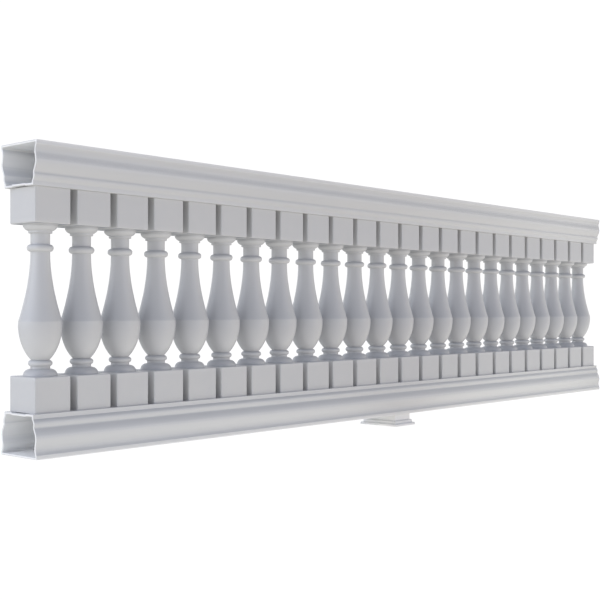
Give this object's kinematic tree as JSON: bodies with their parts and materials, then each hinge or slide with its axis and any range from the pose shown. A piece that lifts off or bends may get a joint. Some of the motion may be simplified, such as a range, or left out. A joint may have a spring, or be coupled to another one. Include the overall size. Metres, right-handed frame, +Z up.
{
  "type": "moulded balustrade section",
  "caption": "White moulded balustrade section with hollow moulded rails, turned vase balusters on square plinths and a stepped foot under mid length.",
  "frame": {"origin": "middle of the foot's underside, at mid length of the row", "axes": "+X along the row, +Y across it to the back, +Z up"},
  "size_m": [3.6576, 0.181, 0.9624],
  "materials": {
    "rail": "satin white",
    "baluster": "satin white",
    "foot": "satin white"
  },
  "bodies": {
    "root": {"top_rail": "rail", "bottom_rail": "rail", "baluster_01": "baluster", "baluster_02": "baluster", "baluster_03": "baluster", "baluster_04": "baluster", "baluster_05": "baluster", "baluster_06": "baluster", "baluster_07": "baluster", "baluster_08": "baluster", "baluster_09": "baluster", "baluster_10": "baluster", "baluster_11": "baluster", "baluster_12": "baluster", "baluster_13": "baluster", "baluster_14": "baluster", "baluster_15": "baluster", "baluster_16": "baluster", "baluster_17": "baluster", "baluster_18": "baluster", "baluster_19": "baluster", "baluster_20": "baluster", "baluster_21": "baluster", "baluster_22": "baluster", "baluster_23": "baluster", "baluster_24": "baluster", "support_foot": "foot"}
  },
  "joints": []
}
